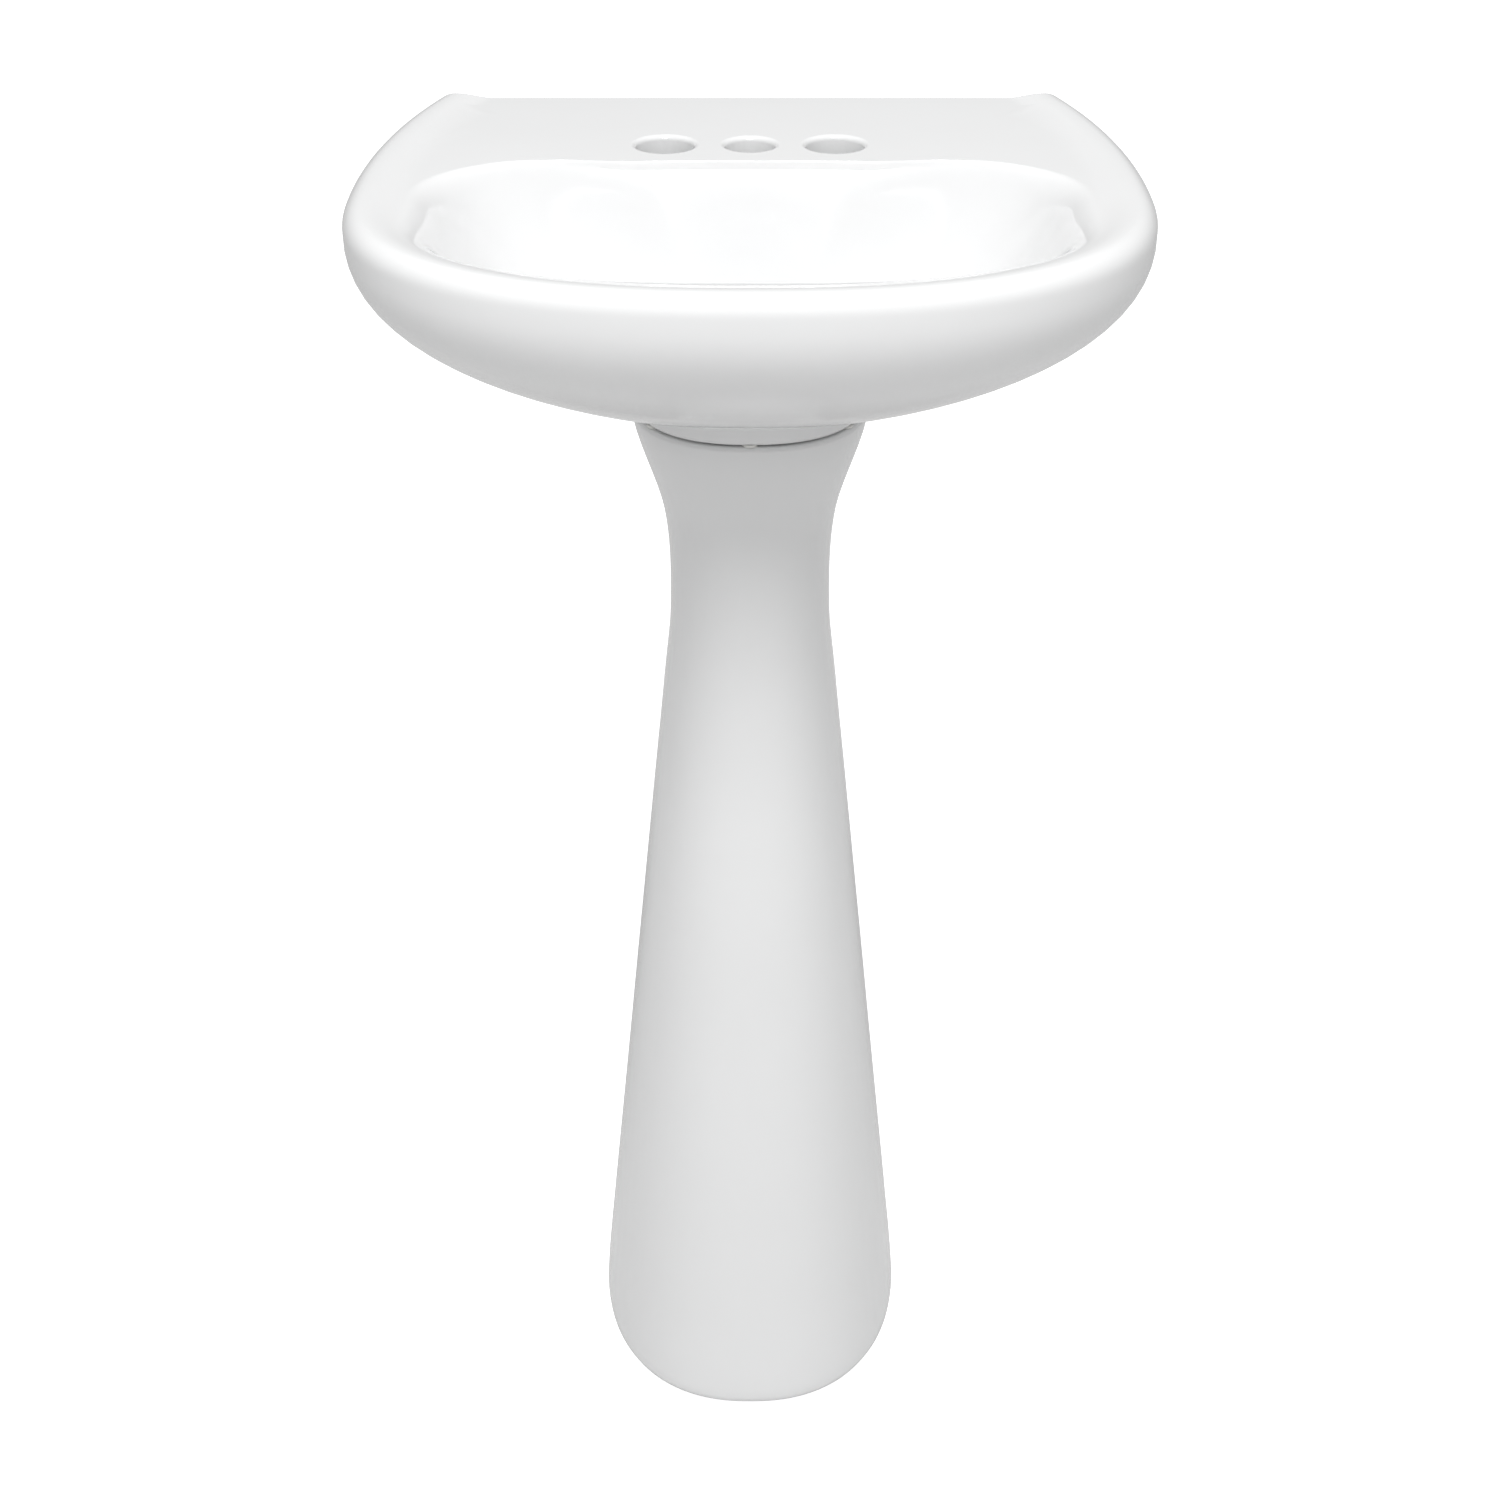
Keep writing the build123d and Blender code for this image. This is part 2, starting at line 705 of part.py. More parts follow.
with BuildPart() as trap_arm:
    arm_corners = [(trap_rear_y, outlet_washer_top), (trap_rear_y, arm_z), (wall_y, arm_z)]
    add(pipe(arm_corners, elbow_radius, pipe_radius, pipe_bore))
    flange_outline = ring_outline(thread_radius - 0.2, pipe_bore, outlet_washer_top, arm_flange_top)
    add(round_piece(flange_outline, trap_rear_y))

# ---------------------------------------------------------------- export
pieces = {
    "basin": basin,
    "pedestal": pedestal,
    "pedestal_pads": pedestal_pads,
    "hanger_left": hanger_left,
    "hanger_right": hanger_right,
    "drain_body": drain_body,
    "drain_flange_gasket": drain_flange_gasket,
    "drain_seal_washer": drain_seal_washer,
    "drain_slip_washer": drain_slip_washer,
    "drain_locknut": drain_locknut,
    "stopper_cartridge": stopper_cartridge,
    "stopper_stem": stopper_stem,
    "stopper_cap": stopper_cap,
    "stopper_cap_seal": stopper_cap_seal,
    "stopper_spring": stopper_spring,
    "tailpiece": tailpiece,
    "trap_inlet_washer": trap_inlet_washer,
    "trap_inlet_nut": trap_inlet_nut,
    "trap_bend": trap_bend,
    "trap_outlet_washer": trap_outlet_washer,
    "trap_outlet_nut": trap_outlet_nut,
    "trap_arm": trap_arm,
}
os.makedirs("parts", exist_ok=True)
for name, piece in pieces.items():
    piece.part.label = name
    export_step(piece.part, f"parts/{name}.step")
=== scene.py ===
import bpy
import bmesh
import json
from math import asin, atan2, cos, hypot, pi, radians, sin, sqrt
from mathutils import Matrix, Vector


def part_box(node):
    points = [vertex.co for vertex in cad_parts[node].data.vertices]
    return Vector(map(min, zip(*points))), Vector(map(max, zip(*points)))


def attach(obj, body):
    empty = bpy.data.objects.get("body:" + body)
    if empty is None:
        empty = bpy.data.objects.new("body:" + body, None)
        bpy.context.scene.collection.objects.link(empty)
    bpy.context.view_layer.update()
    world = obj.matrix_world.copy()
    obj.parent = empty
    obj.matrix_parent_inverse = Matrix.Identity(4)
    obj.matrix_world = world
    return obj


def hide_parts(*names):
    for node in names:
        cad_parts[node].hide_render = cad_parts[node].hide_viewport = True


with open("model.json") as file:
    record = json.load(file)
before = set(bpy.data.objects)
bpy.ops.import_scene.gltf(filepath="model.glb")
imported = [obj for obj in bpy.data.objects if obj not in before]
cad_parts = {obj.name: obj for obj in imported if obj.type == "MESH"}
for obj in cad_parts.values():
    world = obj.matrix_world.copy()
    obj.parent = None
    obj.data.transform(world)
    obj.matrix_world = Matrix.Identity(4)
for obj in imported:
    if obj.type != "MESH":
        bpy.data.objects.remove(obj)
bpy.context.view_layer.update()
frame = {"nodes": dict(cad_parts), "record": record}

# ------------------------------------------------------------------ sizes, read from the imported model
basin_lo, basin_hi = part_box("basin")
ped_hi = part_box("pedestal")[1]
drain_lo, drain_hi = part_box("drain_body")
WALL = basin_hi.y
RIM = basin_hi.z
HALF = (basin_hi.x - basin_lo.x) / 2
WIDEST = WALL - 0.200
FRONT = WIDEST - basin_lo.y
REAR = 0.382
FRONT_POWER = 2.4
BELLY_POWER = 2.2
BELLY_TAPER = 1.04
BELLY_TOP = RIM - 0.015
BELLY_DROP = 0.127
ROLL = 0.011
DECK_DROP = 0.003
DECK = RIM - DECK_DROP
LIP_TOP, LIP_FOOT = 0.012, 0.034
DRAIN = (drain_lo.y + drain_hi.y) / 2
FLOOR = RIM - 0.120
SEAT = 0.004
SEAT_R = 0.0305
OUTLET_R = 0.02225
BOSS_R = 0.030
BOSS_LOW = basin_lo.z
FLOOR_R = 0.033
BOWL_HALF, BOWL_FRONT, BOWL_BACK = 0.185, 0.131, 0.092
BOWL_MID = WALL - 0.215
BULGE_ANGLE = radians(52)
BULGE_REACH = 0.15
CORNER = 0.004
BACK_ROLL = 0.0025
TOP_INSET = 0.020
BELLY_END = 0.36
COLLAR_Z = RIM - 0.1385
COLLAR_MID = WALL - 0.164
COLLAR_HALF, COLLAR_FRONT, COLLAR_REAR = 0.071, 0.081, 0.039
COLLAR_POWER = 2.3
SKIRT = RIM - 0.115
SKIRT_FRONT = WALL - 0.125
HOLLOW_FRONT, HOLLOW_BACK = WALL - 0.140, WALL - 0.016
HOLLOW_LOW, HOLLOW_HIGH = SKIRT - 0.008, DECK - 0.013
BELLY_WALL, BELLY_FLOOR = 0.010, 0.007
BOWL_WALL = 0.012
HANGER_X = 0.074
POCKET_HALF, POCKET_DEPTH, POCKET_TOP = 0.025, 0.007, RIM - 0.045
WINDOW_HALF, WINDOW_DEPTH = 0.022, 0.026
WINDOW_LOW, WINDOW_HIGH = RIM - 0.102, RIM - 0.058
OVERFLOW_LOW, OVERFLOW_HIGH = RIM - 0.048, RIM - 0.042
OVERFLOW_HALF = 0.017
HOLE_Y = WALL - 0.102
HOLE_PITCH = 0.0508
OUTER_HOLE_R, CENTRE_HOLE_R = 0.0175, 0.015
HOLE_ROUND = 0.003


def signed_power(value, power):
    return abs(value) ** power * (1 if value >= 0 else -1)


def smooth(t):
    t = min(max(t, 0.0), 1.0)
    return t * t * (3 - 2 * t)


def solve(inside, high):
    """Largest r along a ray for which inside(r) holds."""
    low = 0.0
    for _ in range(36):
        r = (low + high) / 2
        if inside(r):
            low = r
        else:
            high = r
    return low


def make_object(name, verts, faces, smooth_angle=35.0):
    mesh = bpy.data.meshes.new(name)
    mesh.from_pydata(verts, [], faces)
    mesh.validate()
    bm = bmesh.new()
    bm.from_mesh(mesh)
    bmesh.ops.remove_doubles(bm, verts=bm.verts, dist=1e-6)
    bmesh.ops.recalc_face_normals(bm, faces=bm.faces)
    bm.to_mesh(mesh)
    bm.free()
    obj = bpy.data.objects.new(name, mesh)
    bpy.context.scene.collection.objects.link(obj)
    shade(obj, smooth_angle)
    return obj


def shade(obj, angle):
    """Smooth faces, with the edges steeper than the angle kept sharp."""
    mesh = obj.data
    mesh.polygons.foreach_set("use_smooth", [True] * len(mesh.polygons))
    mesh.set_sharp_from_angle(angle=radians(angle))


def apply_modifiers(obj):
    graph = bpy.context.evaluated_depsgraph_get()
    baked = bpy.data.meshes.new_from_object(obj.evaluated_get(graph))
    obj.modifiers.clear()
    old = obj.data
    obj.data = baked
    bpy.data.meshes.remove(old)


def box_mesh(name, lo, hi):
    x0, y0, z0 = lo
    x1, y1, z1 = hi
    verts = [(x, y, z) for x in (x0, x1) for y in (y0, y1) for z in (z0, z1)]
    faces = [(0, 1, 3, 2), (4, 6, 7, 5), (0, 4, 5, 1), (2, 3, 7, 6), (0, 2, 6, 4), (1, 5, 7, 3)]
    return make_object(name, verts, faces)


def lathe_mesh(name, outline, centre, steps=96):
    """Closed solid from an outline of (radius, z) pairs; the first and last lie on the axis."""
    verts, faces, rings = [], [], []
    for r, z in outline:
        if r < 1e-7:
            verts.append((centre[0], centre[1], z))
            rings.append([len(verts) - 1] * steps)
        else:
            base = len(verts)
            for k in range(steps):
                a = 2 * pi * k / steps
                verts.append((centre[0] + r * cos(a), centre[1] + r * sin(a), z))
            rings.append([base + k for k in range(steps)])
    for low, high in zip(rings, rings[1:]):
        for k in range(steps):
            n = (k + 1) % steps
            quad = [low[k], low[n], high[n], high[k]]
            face = [v for i, v in enumerate(quad) if v not in quad[:i]]
            if len(face) > 2:
                faces.append(face)
    return make_object(name, verts, faces)


def stack_mesh(name, stack):
    """Closed solid from outlines with as many points each, from the lowest to the highest."""
    verts = [p for ring in stack for p in ring]
    n, m = len(stack[0]), len(stack)
    faces = []
    for i in range(m - 1):
        for k in range(n):
            after = (k + 1) % n
            faces.append((i * n + k, i * n + after, i * n + n + after, i * n + n + k))
    faces += [tuple(range(n)), tuple((m - 1) * n + k for k in range(n))]
    return make_object(name, verts, faces)


def cut(target, tool, mode="DIFFERENCE"):
    """Takes the tool from the target, or joins it to the target, and drops the tool."""
    mod = target.modifiers.new("cut", "BOOLEAN")
    mod.operation = mode
    mod.solver = "EXACT"
    mod.object = tool
    apply_modifiers(target)
    bpy.data.objects.remove(tool, do_unlink=True)


# ------------------------------------------------------------------ basin
def bulge_share(turn):
    """1 in the middle of the bulge behind the drain, falling to 0 past its sides."""
    away = abs(atan2(cos(turn), sin(turn))) / BULGE_ANGLE
    return smooth((1.22 - away) / 0.44)


def bowl_edge(turn):
    """The bowl's edge, at an angle from +X about the bowl's middle."""
    c, s = cos(turn), sin(turn)
    reach, power = (BOWL_FRONT, 2.9) if s < 0 else (BOWL_BACK, 3.1)
    r = ((abs(c) / BOWL_HALF) ** power + (abs(s) / reach) ** power) ** (-1 / power)
    r *= 1 - BULGE_REACH * bulge_share(turn)
    return r * c, BOWL_MID + r * s


def bowl_profile(q, bulge):
    """Height of the bowl's wall, 0 at the floor and 1 at the deck, at a share q of the way out."""
    wall = 0.10 * q + 0.90 * q**2.5
    nose = 1 - (1 - q) ** 1.6 if q < 1 else 1 + 4 * (q - 1)
    return wall + (nose - wall) * bulge


def side_inset(x, y, scale=1.0):
    """Distance inside the front and side outline, at a share of its full size."""
    n = FRONT_POWER
    dy = y - WIDEST
    hx, fy, ry = HALF * scale, FRONT * scale, REAR * scale ** (BELLY_TAPER / BELLY_POWER)
    if dy < 0:
        f = (abs(x / hx) ** n + abs(dy / fy) ** n) ** (1 / n)
        gx = abs(x / hx) ** (n - 1) / hx * max(f, 1e-6) ** (1 - n)
        gy = abs(dy / fy) ** (n - 1) / fy * max(f, 1e-6) ** (1 - n)
    else:
        f = hypot(x / hx, dy / ry)
        gx = abs(x) / hx**2 / max(f, 1e-6)
        gy = abs(dy) / ry**2 / max(f, 1e-6)
    return (1 - f) / max(hypot(gx, gy), 1e-6)


def ring_point(turn, inset, back_inset, scale=1.0):
    """Where a ray from the drain's axis meets the outline drawn in by the two insets."""

    def inside(r):
        x, y = r * cos(turn), DRAIN + r * sin(turn)
        side = side_inset(x, y, scale) - inset
        back = WALL - y - back_inset
        a, b = CORNER - side, CORNER - back
        if a > 0 and b > 0:
            return CORNER > hypot(a, b)
        return side > 0 and back > 0

    r = solve(inside, 0.5)
    return r * cos(turn), DRAIN + r * sin(turn)


def top_height(x, y):
    """Height of the deck, the rim's slope and its rolled edge, and of the rounded back edge."""
    side = side_inset(x, y)
    z = RIM - DECK_DROP * smooth((side - LIP_TOP) / (LIP_FOOT - LIP_TOP))
    over = min(max(ROLL - side, 0.0), ROLL)
    z -= ROLL - sqrt(ROLL**2 - over**2)
    over = min(max(BACK_ROLL - (WALL - y), 0.0), BACK_ROLL)
    z -= BACK_ROLL - sqrt(BACK_ROLL**2 - over**2)
    return max(z, BELLY_TOP + 0.0025)


def soft_min(a, b, k):
    """The smaller of two heights, blended where they differ by less than k."""
    h = max(k - abs(a - b), 0.0) / k
    return min(a, b) - h * h * k / 4


TURNS = sorted(
    {round(k * 1.25, 4) for k in range(288)}
    | {round((c + k * 0.3125) % 360, 4) for c in (45, 135) for k in range(-14, 15)}
)
TURNS = [radians(t) for t in TURNS]
EDGE = [bowl_edge(t) for t in TURNS]
SOFT = [0.020 - 0.012 * smooth((sin(t) - 0.05) / 0.4) for t in TURNS]
BULGE = [bulge_share(t) for t in TURNS]


def collar_point(turn, inset):
    """Where a ray from the drain's axis meets the collar's outline, drawn in by the inset."""

    def inside(r):
        x, y = r * cos(turn), DRAIN + r * sin(turn) - COLLAR_MID
        reach = COLLAR_FRONT if y < 0 else COLLAR_REAR
        across, along = abs(x) / (COLLAR_HALF - inset), abs(y) / (reach - inset)
        return across**COLLAR_POWER + along**COLLAR_POWER < 1

    r = solve(inside, 0.2)
    return r * cos(turn), DRAIN + r * sin(turn)


def grid_solid(name, rings):
    """Closed solid from rings of points round the drain's axis, the last joined to the first."""
    verts = [p for ring in rings for p in ring]
    faces = []
    count = len(TURNS)
    for i in range(len(rings)):
        j = (i + 1) % len(rings)
        for k in range(count):
            n = (k + 1) % count
            faces.append((i * count + k, i * count + n, j * count + n, j * count + k))
    return make_object(name, verts, faces)


def circle(r, z):
    """A ring of points about the drain's axis."""
    return [(r * cos(t), DRAIN + r * sin(t), z) for t in TURNS]


def bowl_point(k, q):
    """A point of the bowl's wall, or past its edge a point of the deck around it."""
    t, bulge = TURNS[k], BULGE[k]
    x = FLOOR_R * cos(t) * (1 - q) + EDGE[k][0] * q
    y = (DRAIN + FLOOR_R * sin(t)) * (1 - q) + EDGE[k][1] * q
    raw = FLOOR + (DECK - FLOOR) * bowl_profile(q, bulge)
    return x, y, soft_min(raw, top_height(x, y), SOFT[k] + 0.012 * bulge)


rings = [circle(OUTLET_R, BOSS_LOW), circle(OUTLET_R, FLOOR - SEAT), circle(SEAT_R, FLOOR - SEAT)]
rings += [circle(SEAT_R, FLOOR - 0.0006), circle(SEAT_R + 0.0006, FLOOR)]
shares = [0, 0.02, 0.05] + [0.1 + 0.05 * k for k in range(14)]
shares += [0.78 + 0.01 * k for k in range(1, 32)]
last = [bowl_point(k, shares[-1]) for k in range(len(TURNS))]
for q in shares:
    rings.append([bowl_point(k, q) for k in range(len(TURNS))])
foot = [ring_point(t, TOP_INSET, TOP_INSET) for t in TURNS]
for share in (0.1, 0.22, 0.35, 0.5, 0.65, 0.8, 0.9, 1.0):
    ring = []
    for (x0, y0, z0), (x1, y1) in zip(last, foot):
        x, y = x0 + (x1 - x0) * share, y0 + (y1 - y0) * share
        ring.append((x, y, top_height(x, y)))
    rings.append(ring)
for k in range(1, 13):
    share = k / 12
    inset = TOP_INSET + (ROLL - TOP_INSET) * share
    back = TOP_INSET + (BACK_ROLL - TOP_INSET) * share
    rings.append([(*p, top_height(*p)) for p in (ring_point(t, inset, back) for t in TURNS)])
for k in range(1, 10):
    a = pi / 2 * k / 9
    ring = [ring_point(t, ROLL * (1 - sin(a)), BACK_ROLL * (1 - sin(a))) for t in TURNS]
    rings.append([(*p, top_height(*p)) for p in ring])
rings.append([(*ring_point(t, 0.0, 0.0), BELLY_TOP + 0.002) for t in TURNS])
for k in range(1, 30):
    depth = sin(pi / 2 * k / 30)
    scale = (1 - depth**BELLY_POWER) ** (1 / BELLY_TAPER)
    if scale < BELLY_END:
        break
    rings.append([(*ring_point(t, 0.0, 0.0, scale), BELLY_TOP - BELLY_DROP * depth) for t in TURNS])

# The collar that stands on the pedestal's pads, as (inset, height above its face), and the outlet's boss
for inset, up in ((-0.0015, 0.0165), (0.0, 0.0145), (0.0, 0.0015), (0.0012, 0.0)):
    rings.append([(*collar_point(t, inset), COLLAR_Z + up) for t in TURNS])
rings += [circle(BOSS_R + 0.003, COLLAR_Z), circle(BOSS_R, COLLAR_Z - 0.003)]
rings += [circle(BOSS_R, BOSS_LOW + 0.002), circle(BOSS_R - 0.002, BOSS_LOW)]
basin = grid_solid("basin_china", rings)

# The skirt at the back ends higher than the belly
cut(basin, box_mesh("skirt_tool", (-0.3, SKIRT_FRONT, BOSS_LOW - 0.05), (0.3, WALL + 0.05, SKIRT)))

# The hollow behind the bowl, open below between the skirt and the belly
stack = []
for k in range(13):
    z = HOLLOW_LOW + (HOLLOW_HIGH - HOLLOW_LOW) * k / 12
    depth = max(BELLY_TOP - z + BELLY_FLOOR, 0.0) / BELLY_DROP
    scale = (1 - depth**BELLY_POWER) ** (1 / BELLY_TAPER)
    rear = REAR * scale ** (BELLY_TAPER / BELLY_POWER) - BELLY_WALL
    ring = []
    for i in range(97):
        t = pi * i / 96
        y = min(max(WIDEST + rear * sin(t), HOLLOW_FRONT), HOLLOW_BACK)
        ring.append(((HALF * scale - BELLY_WALL) * cos(t), y, z))
    stack.append(ring)
hollow = stack_mesh("hollow_tool", stack)

# The bowl's own wall stays, so its outside is taken from the hollow first
shell = []
for q in [0.0, 0.2, 0.4] + [0.5 + 0.05 * k for k in range(11)]:
    ring = []
    for k in range(0, len(TURNS), 2):
        x, y, z = bowl_point(k, q)
        raw = FLOOR + (DECK - FLOOR) * bowl_profile(q, BULGE[k])
        ring.append((x + BOWL_WALL * cos(TURNS[k]), y + BOWL_WALL * sin(TURNS[k]), raw))
    shell.append(ring)
shell.insert(0, [(x, y, FLOOR - 0.014) for x, y, z in shell[0]])
shell.append([(x, y, RIM + 0.02) for x, y, z in shell[-1]])
cut(hollow, stack_mesh("shell_tool", shell))
cut(basin, hollow)

# Pockets and windows for the wall hangers, and the overflow's slot
for x in (-HANGER_X, HANGER_X):
    low = (x - POCKET_HALF, WALL - POCKET_DEPTH, SKIRT - 0.02)
    high = (x + POCKET_HALF, WALL + 0.01, POCKET_TOP)
    cut(basin, box_mesh("pocket_tool", low, high))
    low = (x - WINDOW_HALF, WALL - WINDOW_DEPTH, WINDOW_LOW)
    high = (x + WINDOW_HALF, WALL + 0.01, WINDOW_HIGH)
    cut(basin, box_mesh("window_tool", low, high))
low = (-OVERFLOW_HALF, DRAIN - 0.164, OVERFLOW_LOW)
high = (OVERFLOW_HALF, DRAIN - 0.110, OVERFLOW_HIGH)
cut(basin, box_mesh("slot_tool", low, high))

# Tap holes with rounded mouths
for x, r in ((-HOLE_PITCH, OUTER_HOLE_R), (0.0, CENTRE_HOLE_R), (HOLE_PITCH, OUTER_HOLE_R)):
    outline = [(0, DECK + 0.004), (r + 0.0045, DECK + 0.004), (r + 0.0036, DECK)]
    for k in range(7):
        a = pi / 2 * k / 6
        outline.append((r + HOLE_ROUND * (1 - sin(a)), DECK - HOLE_ROUND * (1 - cos(a))))
    outline += [(r, DECK - 0.05), (0, DECK - 0.05)]
    cut(basin, lathe_mesh("tap_tool", outline, (x, HOLE_Y)))
shade(basin, 28)
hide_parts("basin")
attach(basin, "sink")

# ------------------------------------------------------------------ pedestal
PED_TOP = ped_hi.z
PED_REAR = ped_hi.y
PED_WALL = 0.011
PED_SIDE_REACH = 0.260
PED_POWER = 2.3
PED_FOOT_X = 0.074
PED_SCREW_X = 0.072
PED_FOOT_Y = WALL - 0.112
# Half width, and the front's and the widest line's distance from the wall, in millimetres, from the floor up
STATIONS = [
    (102.2, 267.0, 114.0),
    (96.2, 262.0, 119.0),
    (89.4, 256.5, 124.0),
    (82.6, 250.8, 129.0),
    (75.9, 245.2, 134.0),
    (69.1, 240.0, 139.0),
    (62.4, 235.0, 144.0),
    (55.6, 230.5, 149.0),
    (49.6, 227.0, 154.0),
    (52.6, 229.5, 159.0),
    (72.0, 246.0, 164.0),
]


def station(z):
    """Half width, front y and widest y of the column at a height, through its stations."""
    f = z / PED_TOP * (len(STATIONS) - 1)
    i = min(max(int(f), 0), len(STATIONS) - 2)
    t = f - i
    p = [STATIONS[min(max(i + k, 0), len(STATIONS) - 1)] for k in (-1, 0, 1, 2)]
    out = []
    for a, b, c, d in zip(*p):
        m0, m1 = (c - a) / 2, (d - b) / 2
        h = b * (2 * t**3 - 3 * t**2 + 1) + m0 * (t**3 - 2 * t**2 + t)
        out.append((h + c * (-2 * t**3 + 3 * t**2) + m1 * (t**3 - t**2)) / 1000)
    return out[0], WALL - out[1], WALL - out[2]


def column_point(u, z, inset):
    """A point of the column's outline: u runs from -1 at the back left, past 0 at the front, to 1."""
    width, front_y, mid_y = station(min(max(z, 0), PED_TOP))
    width, front_y = width - inset, front_y + inset
    span = pi / 2 + asin((PED_REAR - mid_y) / PED_SIDE_REACH)
    turn = -pi / 2 + u * span
    c, s = cos(turn), sin(turn)
    power = 2 / PED_POWER if s < 0 else 1.0
    reach = mid_y - front_y if s < 0 else PED_SIDE_REACH
    return width * signed_power(c, power), mid_y + reach * signed_power(s, power), z


US = [-1 + 2 * k / 120 for k in range(121)]
# The wall's section as (inset, height): up the outside, over the top and down the inside
profile = [(0.0055, 0.0), (0.0048, 0.0), (0.003, 0.0007), (0.0014, 0.0019), (0.0004, 0.0036), (0.0, 0.006)]
rows = int((PED_TOP - 0.02) / 0.0085)
profile += [(0.0, 0.012 + (PED_TOP - 0.017) * k / rows) for k in range(rows)]
profile += [(0.0, PED_TOP - 0.003), (0.0004, PED_TOP - 0.0015), (0.0015, PED_TOP - 0.0004), (0.003, PED_TOP)]
profile += [(PED_WALL - 0.003, PED_TOP), (PED_WALL - 0.0004, PED_TOP - 0.0015), (PED_WALL, PED_TOP - 0.004)]
profile += [(PED_WALL, PED_TOP - 0.012 - (PED_TOP - 0.02) * k / 60) for k in range(61)]
profile += [(PED_WALL, 0.002), (PED_WALL - 0.001, 0.0)]
verts, faces = [], []
for inset, z in profile:
    for u in US:
        verts.append(column_point(u, z, inset))
n, m = len(US), len(profile)
for i in range(m):
    j = (i + 1) % m
    for k in range(n - 1):
        faces.append((i * n + k, i * n + k + 1, j * n + k + 1, j * n + k))
for k in (0, n - 1):
    faces.append(tuple(i * n + k for i in range(m)))
pedestal = make_object("pedestal_china", verts, faces, 40)
for x in (-PED_FOOT_X, PED_FOOT_X):
    low, high = (x - 0.021, PED_FOOT_Y - 0.020, 0.0), (x + 0.021, PED_FOOT_Y + 0.020, 0.014)
    foot_box = box_mesh("foot", low, high)
    cut(pedestal, foot_box, "UNION")
for x in (-PED_SCREW_X, PED_SCREW_X):
    outline = [(0, 0.03), (0.005, 0.03), (0.005, -0.01), (0, -0.01)]
    cut(pedestal, lathe_mesh("screw_tool", outline, (x, PED_FOOT_Y), 32))
shade(pedestal, 40)
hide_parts("pedestal")
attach(pedestal, "sink")


# ------------------------------------------------------------------ materials
def material(name, colour, rough, metal=0.0, coat=0.0, wave=0.0, wave_scale=20.0, grain=0.0, tint=0.02):
    """Principled finish with noise in its colour, its roughness and its surface."""
    mat = bpy.data.materials.new(name)
    mat.use_nodes = True
    nodes, links = mat.node_tree.nodes, mat.node_tree.links
    bsdf = nodes["Principled BSDF"]
    coord = nodes.new("ShaderNodeTexCoord")
    noise = nodes.new("ShaderNodeTexNoise")
    noise.inputs["Scale"].default_value = 9.0
    noise.inputs["Detail"].default_value = 3.0
    links.new(coord.outputs["Object"], noise.inputs["Vector"])
    ramp = nodes.new("ShaderNodeValToRGB")
    ramp.color_ramp.elements[0].position = 0.3
    ramp.color_ramp.elements[1].position = 0.7
    ramp.color_ramp.elements[0].color = [c * (1 - tint) for c in colour] + [1]
    ramp.color_ramp.elements[1].color = [min(c * (1 + tint * 0.4), 1) for c in colour] + [1]
    links.new(noise.outputs["Fac"], ramp.inputs["Fac"])
    links.new(ramp.outputs["Color"], bsdf.inputs["Base Color"])
    spread = nodes.new("ShaderNodeMapRange")
    spread.inputs["To Min"].default_value = rough * 0.8
    spread.inputs["To Max"].default_value = rough * 1.25
    links.new(noise.outputs["Fac"], spread.inputs["Value"])
    links.new(spread.outputs["Result"], bsdf.inputs["Roughness"])
    bsdf.inputs["Metallic"].default_value = metal
    bsdf.inputs["Coat Weight"].default_value = coat
    bsdf.inputs["Coat Roughness"].default_value = 0.03
    if wave or grain:
        relief = nodes.new("ShaderNodeTexNoise")
        relief.inputs["Scale"].default_value = wave_scale
        relief.inputs["Detail"].default_value = 1.0 if wave else 4.0
        links.new(coord.outputs["Object"], relief.inputs["Vector"])
        bump = nodes.new("ShaderNodeBump")
        bump.inputs["Strength"].default_value = wave or grain
        bump.inputs["Distance"].default_value = 0.002 if wave else 0.0004
        links.new(relief.outputs["Fac"], bump.inputs["Height"])
        links.new(bump.outputs["Normal"], bsdf.inputs["Normal"])
    return mat


FINISH = {
    "china": material(
        "china_glaze", (0.80, 0.803, 0.805), 0.10, coat=0.3, wave=0.05, wave_scale=14.0, tint=0.012
    ),
    "clear_rubber": material("clear_rubber", (0.75, 0.75, 0.72), 0.55, grain=0.2, wave_scale=300.0),
    "zinc_steel": material(
        "zinc_steel", (0.62, 0.63, 0.65), 0.38, metal=1.0, grain=0.3, wave_scale=160.0, tint=0.08
    ),
    "chrome": material("chrome_plate", (0.83, 0.84, 0.86), 0.07, metal=1.0, wave=0.02, wave_scale=60.0),
    "foam": material("foam_ring", (0.05, 0.05, 0.05), 0.9, grain=0.6, wave_scale=500.0, tint=0.2),
    "black_rubber": material(
        "black_rubber", (0.03, 0.03, 0.03), 0.6, grain=0.3, wave_scale=300.0, tint=0.2
    ),
    "white_plastic": material("white_plastic", (0.82, 0.82, 0.80), 0.42, grain=0.15, wave_scale=200.0),
    "brass": material(
        "brass_nut", (0.72, 0.53, 0.25), 0.28, metal=1.0, grain=0.25, wave_scale=220.0, tint=0.08
    ),
    "grey_plastic": material(
        "grey_plastic", (0.30, 0.31, 0.32), 0.45, grain=0.2, wave_scale=260.0, tint=0.06
    ),
    "spring_steel": material(
        "spring_steel", (0.62, 0.63, 0.64), 0.22, metal=1.0, grain=0.1, wave_scale=400.0
    ),
}
basin.data.materials.clear()
basin.data.materials.append(FINISH["china"])
pedestal.data.materials.clear()
pedestal.data.materials.append(FINISH["china"])
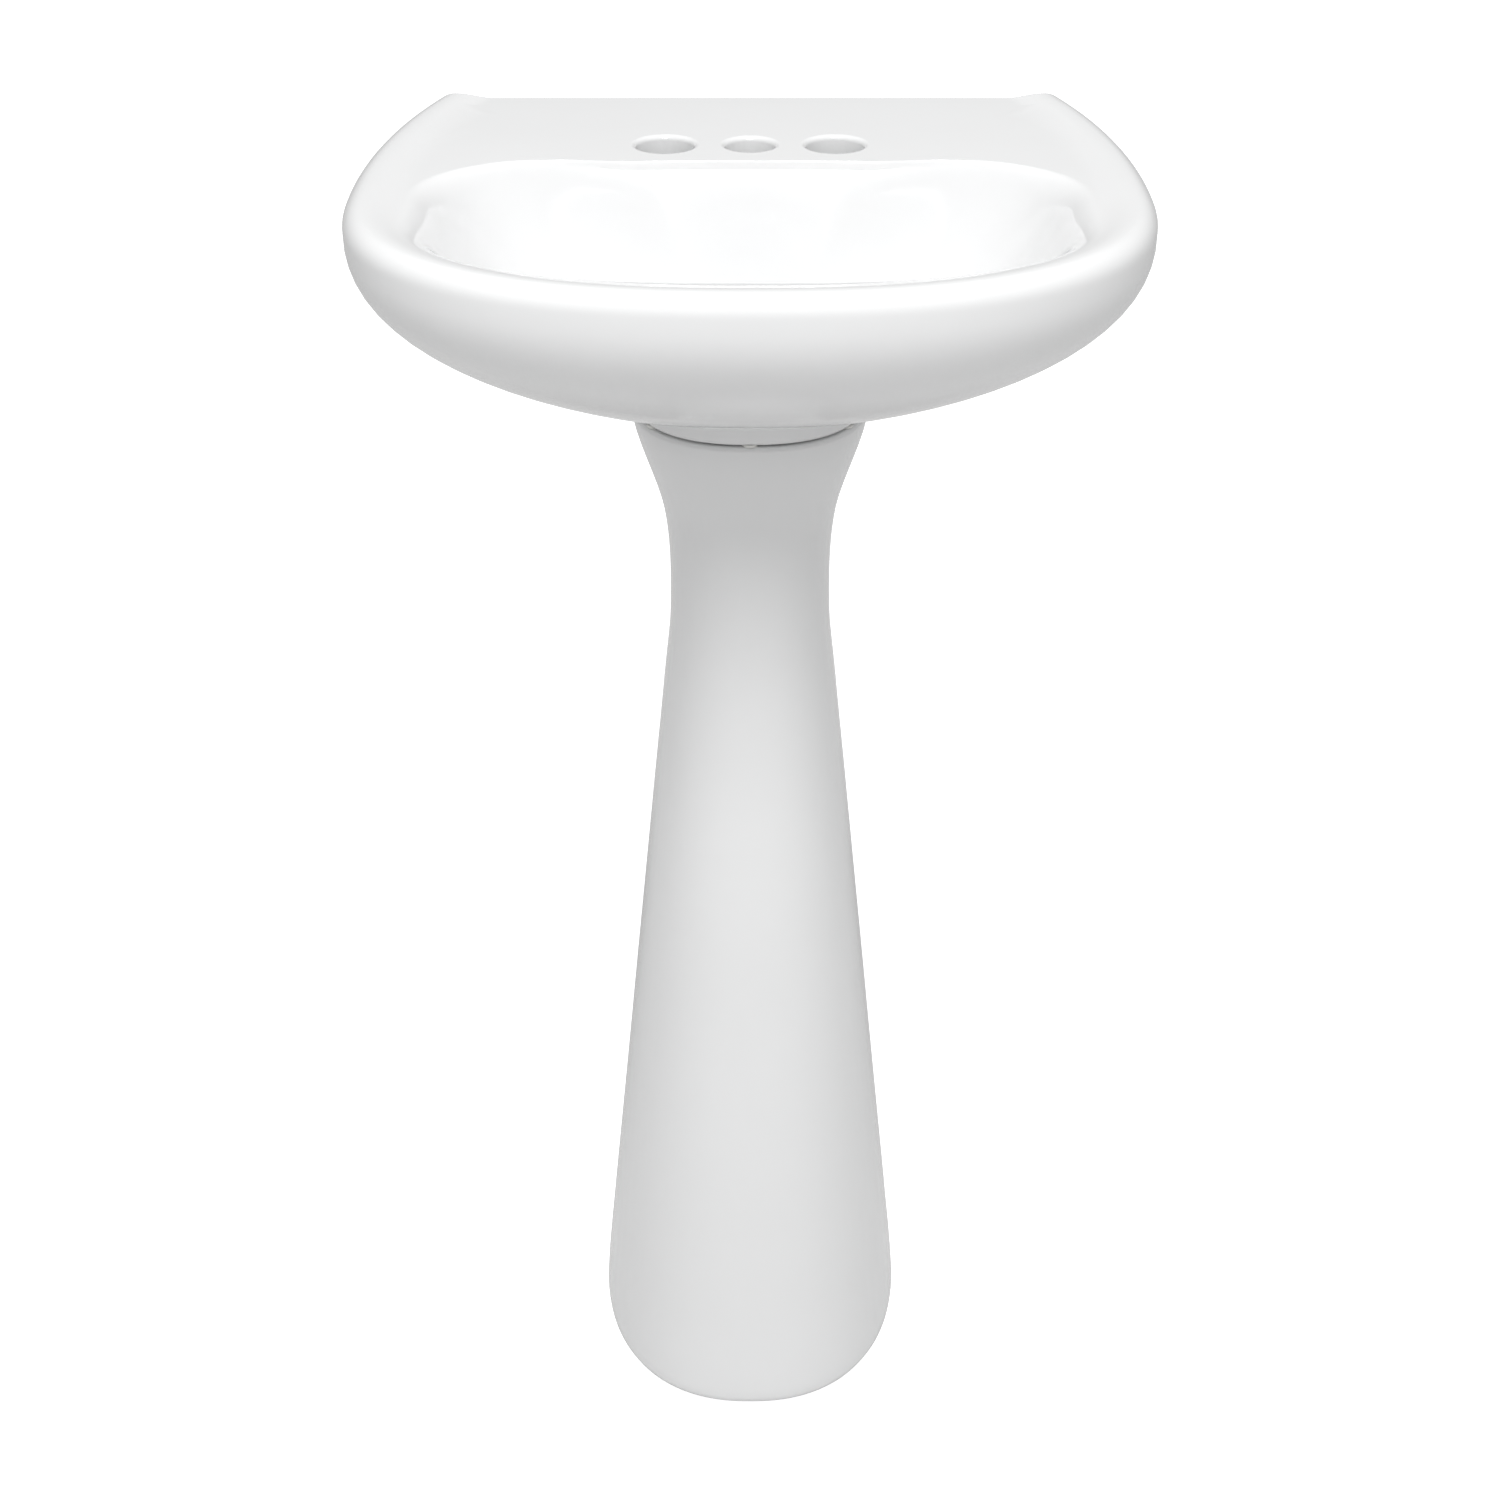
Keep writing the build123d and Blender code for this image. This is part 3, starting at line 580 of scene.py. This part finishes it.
slots = {s["node"]: s["material_slot"] for s in frame["record"]["subparts"]}
for node, obj in frame["nodes"].items():
    obj.data.materials.clear()
    obj.data.materials.append(FINISH[slots[node]])


# ------------------------------------------------------------------ stage, light and camera
def stage_plane(name, size, z):
    s = size / 2
    obj = make_object(name, [(-s, -s, z), (s, -s, z), (s, s, z), (-s, s, z)], [(0, 1, 2, 3)])
    return obj


floor = stage_plane("floor", 14.0, -0.0002)
# Pale paint that adds a glow of its own only where the camera looks straight at it
paint = bpy.data.materials.new("floor_paint")
paint.use_nodes = True
paint_nodes, paint_links = paint.node_tree.nodes, paint.node_tree.links
paint_body = paint_nodes["Principled BSDF"]
paint_body.inputs["Base Color"].default_value = (0.68, 0.68, 0.68, 1)
paint_body.inputs["Roughness"].default_value = 0.9
paint_body.inputs["Specular IOR Level"].default_value = 0.0
glow = paint_nodes.new("ShaderNodeEmission")
glow.inputs["Strength"].default_value = 0.85
lit = paint_nodes.new("ShaderNodeAddShader")
paint_rays = paint_nodes.new("ShaderNodeLightPath")
paint_mix = paint_nodes.new("ShaderNodeMixShader")
paint_links.new(paint_body.outputs["BSDF"], lit.inputs[0])
paint_links.new(glow.outputs["Emission"], lit.inputs[1])
paint_links.new(paint_rays.outputs["Is Camera Ray"], paint_mix.inputs["Fac"])
paint_links.new(paint_body.outputs["BSDF"], paint_mix.inputs[1])
paint_links.new(lit.outputs["Shader"], paint_mix.inputs[2])
paint_links.new(paint_mix.outputs["Shader"], paint_nodes["Material Output"].inputs["Surface"])
floor.data.materials.append(paint)


def area_light(name, place, target, size, power):
    data = bpy.data.lights.new(name, "AREA")
    data.shape = "RECTANGLE"
    data.size, data.size_y = size
    data.energy = power
    obj = bpy.data.objects.new(name, data)
    bpy.context.scene.collection.objects.link(obj)
    obj.location = place
    obj.rotation_euler = (Vector(target) - Vector(place)).to_track_quat("-Z", "Y").to_euler()
    return obj


area_light("key_box", (0.0, -1.70, 3.10), (0, -0.05, 0.6), (1.1, 1.1), 63)

# The world is brighter overhead than at the sides, and plain white where the camera sees it
world = bpy.data.worlds.new("studio")
bpy.context.scene.world = world
world.use_nodes = True
tree = world.node_tree
back = tree.nodes["Background"]
back.inputs["Color"].default_value = (1, 1, 1, 1)
aim = tree.nodes.new("ShaderNodeTexCoord")
split = tree.nodes.new("ShaderNodeSeparateXYZ")
fall = tree.nodes.new("ShaderNodeMapRange")
fall.inputs["From Min"].default_value = 0.0
fall.inputs["From Max"].default_value = 1.0
fall.inputs["To Min"].default_value = 0.42
fall.inputs["To Max"].default_value = 0.78
tree.links.new(aim.outputs["Generated"], split.inputs["Vector"])
tree.links.new(split.outputs["Z"], fall.inputs["Value"])
tree.links.new(fall.outputs["Result"], back.inputs["Strength"])
rays = tree.nodes.new("ShaderNodeLightPath")
seen = tree.nodes.new("ShaderNodeBackground")
seen.inputs["Color"].default_value = (1, 1, 1, 1)
seen.inputs["Strength"].default_value = 1.0
blend = tree.nodes.new("ShaderNodeMixShader")
tree.links.new(rays.outputs["Is Camera Ray"], blend.inputs["Fac"])
tree.links.new(back.outputs["Background"], blend.inputs[1])
tree.links.new(seen.outputs["Background"], blend.inputs[2])
tree.links.new(blend.outputs["Shader"], tree.nodes["World Output"].inputs["Surface"])

# A long lens from the front, tilted down
cam_data = bpy.data.cameras.new("camera")
cam_data.lens = 71.18
cam_data.sensor_width = 36.0
camera = bpy.data.objects.new("camera", cam_data)
bpy.context.scene.collection.objects.link(camera)
camera.location = (0.0, WALL - 1.837, 1.341)
camera.rotation_euler = (radians(90 - 28.05), 0, 0)
bpy.context.scene.camera = camera
bpy.context.scene.view_settings.view_transform = "Standard"
